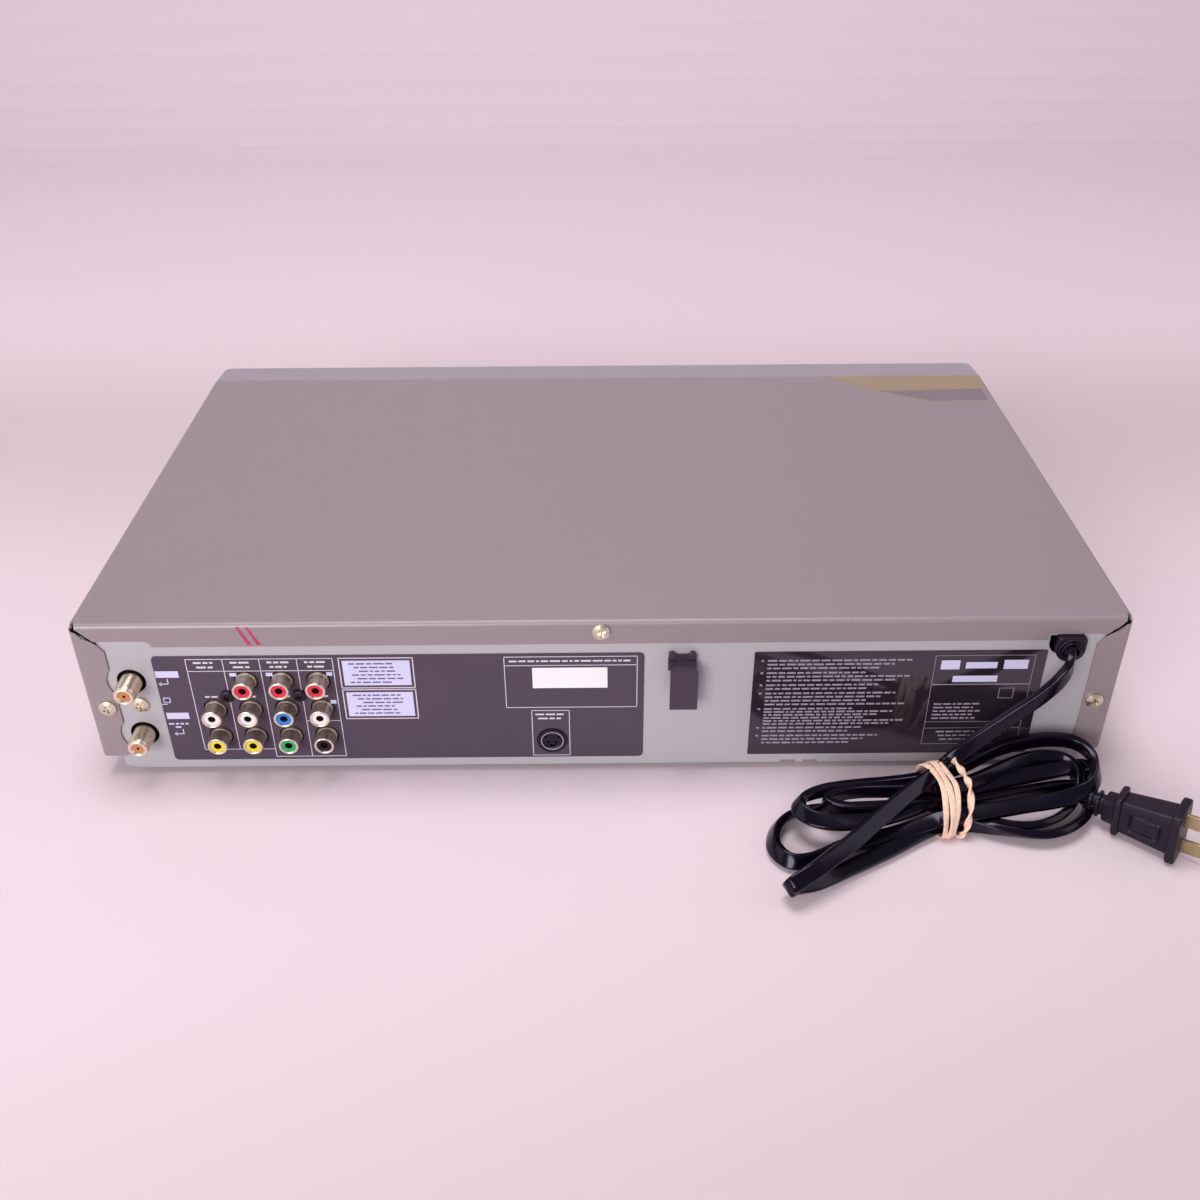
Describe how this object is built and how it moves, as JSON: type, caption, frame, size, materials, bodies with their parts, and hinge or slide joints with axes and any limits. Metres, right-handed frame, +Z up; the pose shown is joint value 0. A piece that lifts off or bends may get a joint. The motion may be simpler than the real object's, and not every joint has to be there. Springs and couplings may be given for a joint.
{
  "type": "disc and tape combination player",
  "caption": "Flat steel-cased player with a sliding disc tray, a tape cassette door, rows of rear jacks and a folded mains cord.",
  "frame": {"origin": "on the surface the feet stand on, under the middle of the case, with the front panel's face and the aerial connectors' tips equally far away", "axes": "+X to the right as seen from the front, +Y towards the rear jacks, +Z up"},
  "size_m": [0.4584, 0.3405, 0.0785],
  "materials": {
    "cover_paint": "matt mauve-grey paint",
    "panel_steel": "plain coated sheet",
    "galvanised": "galvanised sheet",
    "front_plastic": "silver-grey painted plastic",
    "rubber": "matt",
    "nickel": "nickel plate",
    "black_screw": "black oxide",
    "label_film": "printed film",
    "label_gloss": "glossy film",
    "orange_insulator": "satin",
    "black_plastic": "satin",
    "red_plastic": "satin",
    "white_plastic": "satin",
    "yellow_plastic": "satin",
    "blue_plastic": "satin",
    "green_plastic": "satin",
    "cord_jacket": "satin vinyl",
    "band_rubber": "natural rubber",
    "blade_brass": "plated brass",
    "board_green": "solder resist",
    "board_tan": "paper laminate",
    "ferrite": "taped core",
    "drum_metal": "polished",
    "steel": "ground",
    "gear_plastic": "natural",
    "lens": "smoked",
    "button_plastic": "silver paint"
  },
  "bodies": {
    "chassis": {"chassis_pan": "galvanised", "top_cover": "cover_paint", "rear_panel": "panel_steel", "front_panel": "front_plastic", "feet": "rubber", "cover_screws": "nickel", "jack_screws": "black_screw", "jack_label": "label_film", "rear_label": "label_gloss", "tuner_can": "galvanised", "aerial_barrels": "nickel", "aerial_insulators": "orange_insulator", "jack_block": "black_plastic", "phono_barrels": "nickel", "phono_red": "red_plastic", "phono_white": "white_plastic", "phono_yellow": "yellow_plastic", "phono_blue": "blue_plastic", "phono_green": "green_plastic", "phono_black": "black_plastic", "svideo_shell": "nickel", "svideo_socket": "black_plastic", "cable_clip": "black_plastic", "cord_grommet": "black_plastic", "power_cord": "cord_jacket", "cord_hank": "cord_jacket", "hank_band": "band_rubber", "plug_body": "cord_jacket", "plug_blades": "blade_brass", "main_board": "board_green", "power_board": "board_tan", "front_board": "board_green", "transformer": "ferrite", "deck_plate": "galvanised", "drum_base": "drum_metal", "loader_frame": "black_plastic", "display_lens": "lens"},
    "tray": {"disc_tray": "black_plastic", "tray_fascia": "front_plastic"},
    "gear": {"tray_gear": "gear_plastic"},
    "traverse": {"traverse_plate": "steel", "guide_rods": "steel"},
    "disc_table": {"turntable": "black_plastic"},
    "pickup": {"pickup_sled": "black_plastic"},
    "puck": {"clamp_puck": "black_plastic"},
    "carrier": {"cage_carrier": "galvanised"},
    "cage": {"cassette_cage": "galvanised"},
    "door": {"cassette_door": "front_plastic"},
    "drum": {"head_drum": "drum_metal"},
    "supply": {"supply_reel": "black_plastic"},
    "takeup": {"takeup_reel": "black_plastic"},
    "capstan_shaft": {"capstan": "steel"},
    "roller": {"pinch_roller": "rubber"},
    "power_key": {"power_button": "button_plastic"},
    "open_key": {"open_button": "button_plastic"},
    "eject_key": {"eject_button": "button_plastic"},
    "rewind_key": {"rewind_button": "button_plastic"},
    "play_key": {"play_button": "button_plastic"},
    "forward_key": {"forward_button": "button_plastic"},
    "stop_key": {"stop_button": "button_plastic"}
  },
  "joints": [
    {"name": "tray_slide", "type": "slide", "parent": "chassis", "child": "tray", "axis": [0, -1, 0], "range_m": [0, 0.15]},
    {"name": "tray_gear_spin", "type": "hinge", "parent": "chassis", "child": "gear", "pos_m": [-0.1809, -0.095, 0.05], "axis": [0, 0, 1], "range_deg": [0, 860]},
    {"name": "traverse_rise", "type": "slide", "parent": "chassis", "child": "traverse", "axis": [0, 0, 1], "range_m": [0, 0.005]},
    {"name": "disc_spin", "type": "hinge", "parent": "traverse", "child": "disc_table", "pos_m": [-0.1309, -0.04485, 0.05], "axis": [0, 0, 1], "continuous": true},
    {"name": "pickup_slide", "type": "slide", "parent": "traverse", "child": "pickup", "axis": [0, 1, 0], "range_m": [0, 0.032]},
    {"name": "puck_spin", "type": "hinge", "parent": "chassis", "child": "puck", "pos_m": [-0.1309, -0.04485, 0.07], "axis": [0, 0, 1], "continuous": true},
    {"name": "carrier_slide", "type": "slide", "parent": "chassis", "child": "carrier", "axis": [0, 1, 0], "range_m": [0, 0.04]},
    {"name": "cage_drop", "type": "slide", "parent": "carrier", "child": "cage", "axis": [0, 0, -1], "range_m": [0, 0.012]},
    {"name": "door_hinge", "type": "hinge", "parent": "chassis", "child": "door", "pos_m": [0.1057, -0.1355, 0.0717], "axis": [1, 0, 0], "range_deg": [0, 88], "stiffness_Nm_per_rad": 0.004, "springref_deg": -17.19},
    {"name": "drum_spin", "type": "hinge", "parent": "chassis", "child": "drum", "pos_m": [0.1057, 0.077, 0.0275], "axis": [0, -0.0872, 0.9962], "continuous": true},
    {"name": "supply_spin", "type": "hinge", "parent": "chassis", "child": "supply", "pos_m": [0.0572, -0.02, 0.03], "axis": [0, 0, 1], "continuous": true},
    {"name": "takeup_spin", "type": "hinge", "parent": "chassis", "child": "takeup", "pos_m": [0.1542, -0.02, 0.03], "axis": [0, 0, 1], "continuous": true},
    {"name": "capstan_spin", "type": "hinge", "parent": "chassis", "child": "capstan_shaft", "pos_m": [0.1607, 0.05, 0.03], "axis": [0, 0, 1], "continuous": true},
    {"name": "roller_spin", "type": "hinge", "parent": "chassis", "child": "roller", "pos_m": [0.1607, 0.0595, 0.04], "axis": [0, 0, 1], "continuous": true},
    {"name": "power_press", "type": "slide", "parent": "chassis", "child": "power_key", "axis": [0, 1, 0], "range_m": [0, 0.0008], "stiffness_N_per_m": 300, "springref_m": -0.001},
    {"name": "open_press", "type": "slide", "parent": "chassis", "child": "open_key", "axis": [0, 1, 0], "range_m": [0, 0.0008], "stiffness_N_per_m": 300, "springref_m": -0.001},
    {"name": "eject_press", "type": "slide", "parent": "chassis", "child": "eject_key", "axis": [0, 1, 0], "range_m": [0, 0.0008], "stiffness_N_per_m": 300, "springref_m": -0.001},
    {"name": "rewind_press", "type": "slide", "parent": "chassis", "child": "rewind_key", "axis": [0, 1, 0], "range_m": [0, 0.0008], "stiffness_N_per_m": 300, "springref_m": -0.001},
    {"name": "play_press", "type": "slide", "parent": "chassis", "child": "play_key", "axis": [0, 1, 0], "range_m": [0, 0.0008], "stiffness_N_per_m": 300, "springref_m": -0.001},
    {"name": "forward_press", "type": "slide", "parent": "chassis", "child": "forward_key", "axis": [0, 1, 0], "range_m": [0, 0.0008], "stiffness_N_per_m": 300, "springref_m": -0.001},
    {"name": "stop_press", "type": "slide", "parent": "chassis", "child": "stop_key", "axis": [0, 1, 0], "range_m": [0, 0.0008], "stiffness_N_per_m": 300, "springref_m": -0.001}
  ],
  "couplings": [
    {"joint": "tray_gear_spin", "follows": "tray_slide", "rad_per_m": 100},
    {"joint": "puck_spin", "follows": "disc_spin", "ratio": 1}
  ]
}
